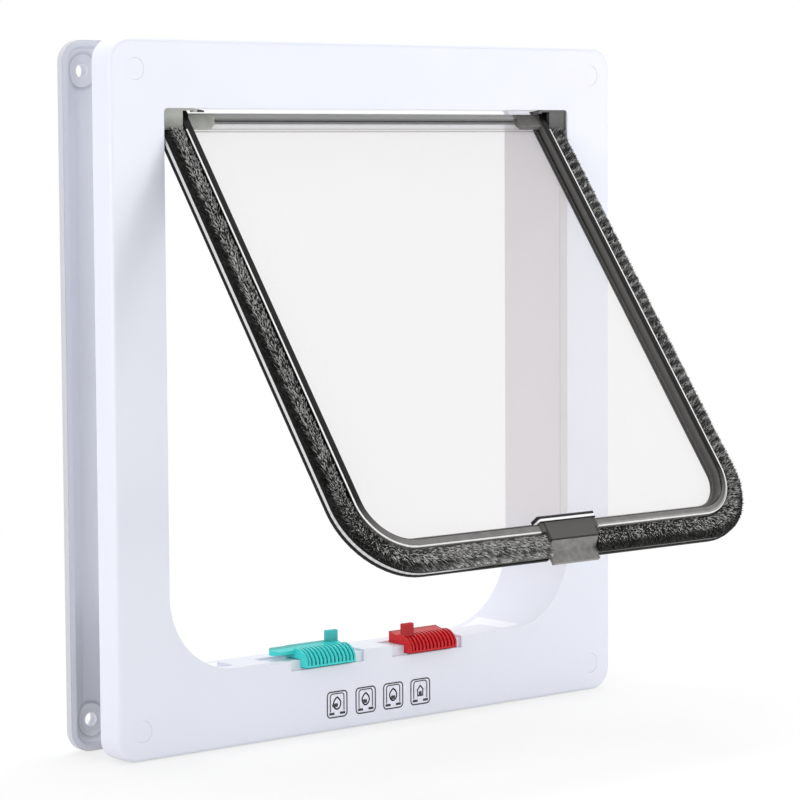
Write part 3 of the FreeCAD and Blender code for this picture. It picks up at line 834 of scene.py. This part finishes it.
def pile_body(length, side, face):
    """Dense core of the brush: a long bar along X, domed on the room side."""
    half = sizes().pile_width / 2
    body = primitive("cylinder", "pile_body", vertices=CORE_SIDES, radius=1.0, depth=length,
                     location=(length / 2, 0, 0), rotation=(0, math.pi / 2, 0))
    settle(body)
    for vertex in body.data.vertices:
        across = vertex.co.y
        top = vertex.co.z > 0
        vertex.co.y = across * half * CORE_WIDTH
        vertex.co.z = sizes().pile_height * CORE_HEIGHT * dome(across, face) if top else 0.0
    with editing(body, lambda e: abs(e.verts[0].co.x - e.verts[1].co.x) > length / 2, "EDGE"):
        bpy.ops.mesh.subdivide(number_cuts=CORE_CUTS)
    outward(body)
    # Painted light on the core left of the catch block.
    tones = body.data.attributes.new("tone", "FLOAT", "POINT")
    for vertex, value in zip(body.data.vertices, tones.data):
        bright = brightness(vertex.co.x, vertex.co.y / half, length, side, face)
        value.value = CORE_TONE + CORE_BRIGHT * bright
    return body


def fibre():
    """One fibre of unit length standing on the origin, three-sided and tapering."""
    made = primitive("cone", "fibre", vertices=3, radius1=1.0, radius2=FIBRE_TIP, depth=1.0,
                     location=(0, 0, 0.5))
    settle(made)
    corners = [vertex.co.copy() for vertex in made.data.vertices]
    faces = [tuple(polygon.vertices) for polygon in made.data.polygons]
    bpy.data.objects.remove(made)
    return corners, faces


def fibre_lean(dice, along, across, middle):
    """Heading of one fibre: outwards, and away from the middle of the corner."""
    lean = math.radians(LEAN[0] + LEAN[1] * (across + 1)) + dice.gauss(0, LEAN_SPREAD)
    drift = clamp((along - middle) / TURN_REACH, -1.0) * DRIFT + dice.gauss(0, DRIFT_SPREAD)
    return Vector((math.sin(lean) * math.sin(drift), math.sin(lean) * math.cos(drift),
                   math.cos(lean)))


def fibre_tone(dice, along, across, clump, bright, middle, side, face):
    """How much painted light one fibre gets: painted sheen streaked along the strip, painted shade
    towards its outer edge, and more painted light left of the catch block.
    """
    lit = (0.3 * clump * clump + dice.betavariate(0.30, 0.28)) * (1.0 if face > 0 else REAR_TONE)
    edge_shade = clamp((across + 0.05) / 0.30) * (1 - bright)
    upright = clamp((middle - along) / TONE_REACH)
    wave = 0.5 + 0.5 * math.sin(along / WAVE + 2.5 * across)
    strands = 1.0 - 0.95 * edge_shade if side < 0 else 0.15 + 0.65 * wave
    turned = (1.0 - 0.85 * edge_shade) * (0.55 + 0.9 * wave if side < 0 else 0.9)
    lit *= strands * upright + turned * (1 - upright)
    return min(1.0, lit + 0.45 * bright * dice.random())


def pile_fibres(length, straight, radius, dice, side, face):
    """Fibres rooted in the core, kept inside the pile's height and outline."""
    half = sizes().pile_width / 2
    corners, faces = fibre()
    points, polygons, tones = [], [], []
    middle = straight + math.pi / 4 * radius
    clumps = [dice.random() for _ in range(CLUMPS)]
    for _ in range(sizes().fibre_count if face > 0 else sizes().fibre_count // REAR_SHARE):
        along = dice.uniform(END_GAP, length - END_GAP)
        across = dice.uniform(*ROOT_SPAN)
        height = sizes().pile_height * ROOT_HEIGHT * dome(across, face)
        slant = fibre_lean(dice, along, across, middle)
        reach = sizes().fibre_length * dice.uniform(*REACH_SPAN) * (1 - 0.5 * max(across, 0))
        reach *= RIGHT_REACH if side > 0 else 1.0
        root = Vector((along, across * half, height))
        room = sizes().pile_height * TIP_HEIGHT - height
        if slant.z > 0:
            reach = min(reach, room / slant.z)
        bright = brightness(along, across, length, side, face)
        edge = half - root.y - (0.1 if side > 0 and face > 0 else 0.3 - 0.3 * bright) * MM
        if slant.y > 0:
            reach = min(reach, edge / slant.y)
        thick = sizes().fibre_radius * dice.uniform(*THICK_SPAN)
        turn = slant.to_track_quat("Z", "Y").to_matrix()
        shape = Matrix.Diagonal((thick, thick, reach))
        start = len(points)
        clump = clumps[int(along / length * (len(clumps) - 1))]
        lit = fibre_tone(dice, along, across, clump, bright, middle, side, face)
        for corner in corners:
            points.append(root + turn @ (shape @ corner))
            # Painted shade towards the fibre's root, painted light towards its tip.
            tones.append(lit * (0.25 + 0.75 * corner.z))
        polygons.extend(tuple(start + index for index in polygon) for polygon in faces)
    mesh = bpy.data.meshes.new("pile_fibres")
    mesh.from_pydata(points, [], polygons)
    attribute = mesh.attributes.new("tone", "FLOAT", "POINT")
    attribute.data.foreach_set("value", tones)
    made = bpy.data.objects.new("pile_fibres", mesh)
    bpy.context.scene.collection.objects.link(made)
    return made


def flap_place():
    """Turns the closed flap's own plane, room side up, to where the open flap hangs."""
    stand = Matrix.Translation((0, HINGE_Y, 0)) @ Matrix.Rotation(math.pi / 2, 4, "X")
    hinge = Matrix.Translation((0, HINGE_Y, HINGE_Z))
    swing = hinge @ Matrix.Rotation(-OPEN_ANGLE, 4, "X") @ hinge.inverted()
    return swing @ stand


class CATFLAP_OT_brushes(bpy.types.Operator):
    """Lays the pile round the flap's edge, on the room face and on the outdoor face"""

    bl_idname = "catflap.brushes"
    bl_label = "Brush pile"

    def execute(self, context):
        finish = pile_material()
        for seed, (word, side) in enumerate((("left", -1), ("right", 1))):
            for prefix, root, face in (("", FRONT_ROOT, 1), ("rear_", REAR_ROOT, -1)):
                dice = random.Random(40 + 2 * seed + (face < 0))
                path, length, straight, radius = pile_path()
                strip = join(prefix + "brush_pile_" + word,
                             [pile_body(length, side, face),
                              pile_fibres(length, straight, radius, dice, side, face)])
                modify(strip, "CURVE", object=path, deform_axis="POS_X")
                height = 1.0 if face > 0 else -sizes().rear_height / sizes().pile_height
                strip.data.transform(Matrix.Diagonal((side, 1, height, 1)))
                if side * height < 0:
                    strip.data.flip_normals()
                strip.data.transform(flap_place() @ Matrix.Translation((0, 0, root)))
                bpy.data.objects.remove(path)
                dress(strip, finish)
                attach(strip, "flap")
                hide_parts(prefix + "brush_" + word)
        return {"FINISHED"}


def shape_from(name, points, line=None):
    """Flat shape with the given corners, or only its outline when a line width is given."""
    made = primitive("circle", name, vertices=len(points), radius=1.0, fill_type="NGON")
    for vertex, (x, y) in zip(made.data.vertices, points):
        vertex.co = (x, y, 0)
    if line:
        keep_outline(made, line)
    return made


def keep_outline(item, line):
    """Keeps only a line round a flat shape."""
    with editing(item):
        bpy.ops.mesh.inset(thickness=line, use_even_offset=True)
        bpy.ops.mesh.delete(type="FACE")


def rounded(name, width, height, corner, line=None, place=(0, 0)):
    """Flat rounded rectangle, or only its outline when a line width is given."""
    made = primitive("plane", name, size=1.0)
    made.scale = (width, height, 1)
    made.location = (*place, 0)
    settle(made)
    with editing(made, kind="VERT"):
        bpy.ops.mesh.bevel(offset=corner, segments=5, affect="VERTICES")
    if line:
        keep_outline(made, line)
    return made


def drop_corners(width, height, place):
    """Corners of a drop with its point up."""
    corners = []
    for step in range(DROP_CORNERS):
        turn = 2 * math.pi * step / DROP_CORNERS
        squeeze = 1.0 - 0.5 * max(0.0, math.cos(turn)) ** 2
        corners.append((place[0] + width / 2 * math.sin(turn) * squeeze,
                        place[1] + height / 2 * math.cos(turn)))
    return corners


def house_corners(width, height, place):
    """Corners of a small house."""
    shares = [(-0.38, -0.5), (-0.38, 0.02), (-0.5, 0.02), (0, 0.5), (0.5, 0.02), (0.38, 0.02),
              (0.38, -0.5)]
    return [(place[0] + x * width, place[1] + z * height) for x, z in shares]


def pictogram(number):
    """One lock position: two rounded frames, a drop or a house, and two marks under it."""
    line = sizes().icon_line
    width, height = sizes().icon_width, sizes().icon_height
    inner = rounded("inner_line", width * ICON_INNER[0], height * ICON_INNER[1], 1.3 * MM,
                    line * 0.8, (0, height * 0.02))
    with editing(inner, lambda face: face.calc_center_median().y < -height * 0.22):
        bpy.ops.mesh.delete(type="FACE")
    sides = [rounded("inner_side", line * 0.8, height * 0.5, 0.1 * MM,
                     place=(side * (width * 0.35 - line * 0.4), -height * 0.02))
             for side in (-1, 1)]
    parts = [rounded("frame_line", width, height, 1.7 * MM, line), inner, *sides]
    heart = (0, height * 0.04)
    if number == 3:
        parts.append(shape_from("house", house_corners(3.9 * MM, 4.4 * MM, heart), line))
        parts.append(rounded("door", 1.4 * MM, 1.7 * MM, 0.3 * MM, place=(0, heart[1] - 1.2 * MM)))
    else:
        parts.append(shape_from("drop", drop_corners(4.0 * MM, 5.0 * MM, heart), line * 1.15))
        place = ((number - 2.2) * 0.45 * MM, heart[1] - (0.7 + 0.15 * number) * MM)
        parts.append(rounded("mark", (2.6 - 0.3 * number) * MM, 1.4 * MM, 0.5 * MM, place=place))
    for side in (-1, 1):
        parts.append(rounded("dash", 2.5 * MM, 0.9 * MM, 0.3 * MM,
                             place=(side * 2.5 * MM, -height * 0.34)))
    return join("pictogram", parts)


class CATFLAP_OT_pictograms(bpy.types.Operator):
    """Prints the four lock pictograms on the room-side face"""

    bl_idname = "catflap.pictograms"
    bl_label = "Pictograms"

    def execute(self, context):
        ink = material("ink", hue("ink"), 0.35, shade=0.7)
        icons = []
        for number, centre in enumerate(ICON_CENTRES):
            icon = pictogram(number)
            modify(icon, "SOLIDIFY", thickness=ICON_PRINT, offset=1.0)
            stand = Matrix.Rotation(math.pi / 2, 4, "X")
            icon.data.transform(Matrix.Translation((centre * MM, FACE_Y, ICON_Z * MM)) @ stand)
            icons.append(icon)
        prints = join("pictograms", icons)
        outward(prints)
        dress(prints, ink)
        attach(prints, "housing")
        return {"FINISHED"}


def lamp(name, place, aim, width, height, power):
    """Soft rectangular lamp aimed at a point."""
    data = bpy.data.lights.new(name, "AREA")
    data.shape = "RECTANGLE"
    data.size = width
    data.size_y = height
    data.energy = power
    made = bpy.data.objects.new(name, data)
    made.location = place
    made.rotation_mode = "QUATERNION"
    made.rotation_quaternion = (Vector(aim) - Vector(place)).to_track_quat("-Z", "Y")
    bpy.context.scene.collection.objects.link(made)


class CATFLAP_OT_stage(bpy.types.Operator):
    """Sets the floor, the light, the white surroundings and the camera"""

    bl_idname = "catflap.stage"
    bl_label = "Stage"

    def execute(self, context):
        floor = primitive("plane", "floor", size=FLOOR_SIZE,
                          location=(0, 0, CAD_BOX[0].z - FLOOR_GAP))
        settle(floor)
        finish = bpy.data.materials.new("pale_floor")
        graph = Graph(finish)
        place = graph.place()
        away = graph.node("ShaderNodeVectorMath", {"operation": "LENGTH"}, {0: place}, 1)
        share = graph.background_rays() * graph.ramp(away, *FLOOR_FADE)
        matte = graph.node("ShaderNodeBsdfDiffuse", {}, {"Color": FLOOR_TONE})
        bright = graph.node("ShaderNodeEmission", {}, {"Color": (1, 1, 1), "Strength": 1.0})
        graph.finish(graph.node("ShaderNodeMixShader", {}, {0: share, 1: matte, 2: bright}))
        dress(floor, finish)

        world = bpy.data.worlds.new("surroundings")
        context.scene.world = world
        graph = Graph(world)
        white = graph.background_rays()
        ambient = graph.node("ShaderNodeBackground", {}, {"Color": AMBIENT_TONE,
                                                          "Strength": AMBIENT_STRENGTH})
        backdrop = graph.node("ShaderNodeBackground", {}, {"Color": (1, 1, 1), "Strength": 1.0})
        mixed = graph.node("ShaderNodeMixShader", {}, {0: white, 1: ambient, 2: backdrop})
        graph.finish(mixed, "ShaderNodeOutputWorld")

        for settings in LAMPS:
            lamp(*settings)

        data = bpy.data.cameras.new("camera")
        data.lens = CAMERA_LENS
        data.sensor_width = SENSOR
        camera = bpy.data.objects.new("camera", data)
        turn = (Matrix.Rotation(-CAMERA_HEADING, 4, "Z")
                @ Matrix.Rotation(math.pi / 2 - CAMERA_DIP, 4, "X")
                @ Matrix.Rotation(CAMERA_LEAN, 4, "Z"))
        camera.matrix_world = Matrix.Translation(CAMERA_PLACE) @ turn
        context.scene.collection.objects.link(camera)
        context.scene.camera = camera
        context.scene.view_settings.view_transform = "Standard"
        return {"FINISHED"}


STEPS = (CATFLAP_OT_frames, CATFLAP_OT_trim, CATFLAP_OT_panel, CATFLAP_OT_sliders,
         CATFLAP_OT_metal, CATFLAP_OT_brushes, CATFLAP_OT_pictograms, CATFLAP_OT_stage)


class CATFLAP_PT_sidebar(bpy.types.Panel):
    """Lists the flap's sizes, colours and steps"""

    bl_idname = "CATFLAP_PT_sidebar"
    bl_label = "Cat Flap"
    bl_space_type = "VIEW_3D"
    bl_region_type = "UI"
    bl_category = "Cat Flap"

    def draw(self, context):
        for group in (context.scene.flap_sizes, context.scene.flap_colours):
            for name in group.__annotations__:
                self.layout.prop(group, name)
        for step in STEPS:
            self.layout.operator(step.bl_idname)


CLASSES = (FlapSizes, FlapColours, *STEPS, CATFLAP_PT_sidebar)


def register():
    """Adds the classes and the two groups of settings."""
    for item in CLASSES:
        bpy.utils.register_class(item)
    bpy.types.Scene.flap_sizes = PointerProperty(type=FlapSizes)
    bpy.types.Scene.flap_colours = PointerProperty(type=FlapColours)


def unregister():
    """Takes them away again."""
    del bpy.types.Scene.flap_colours
    del bpy.types.Scene.flap_sizes
    for item in reversed(CLASSES):
        bpy.utils.unregister_class(item)


def main():
    """Runs every step in order."""
    register()
    for step in STEPS:
        group, name = step.bl_idname.split(".")
        getattr(getattr(bpy.ops, group), name)()


if __name__ == "__main__":
    main()
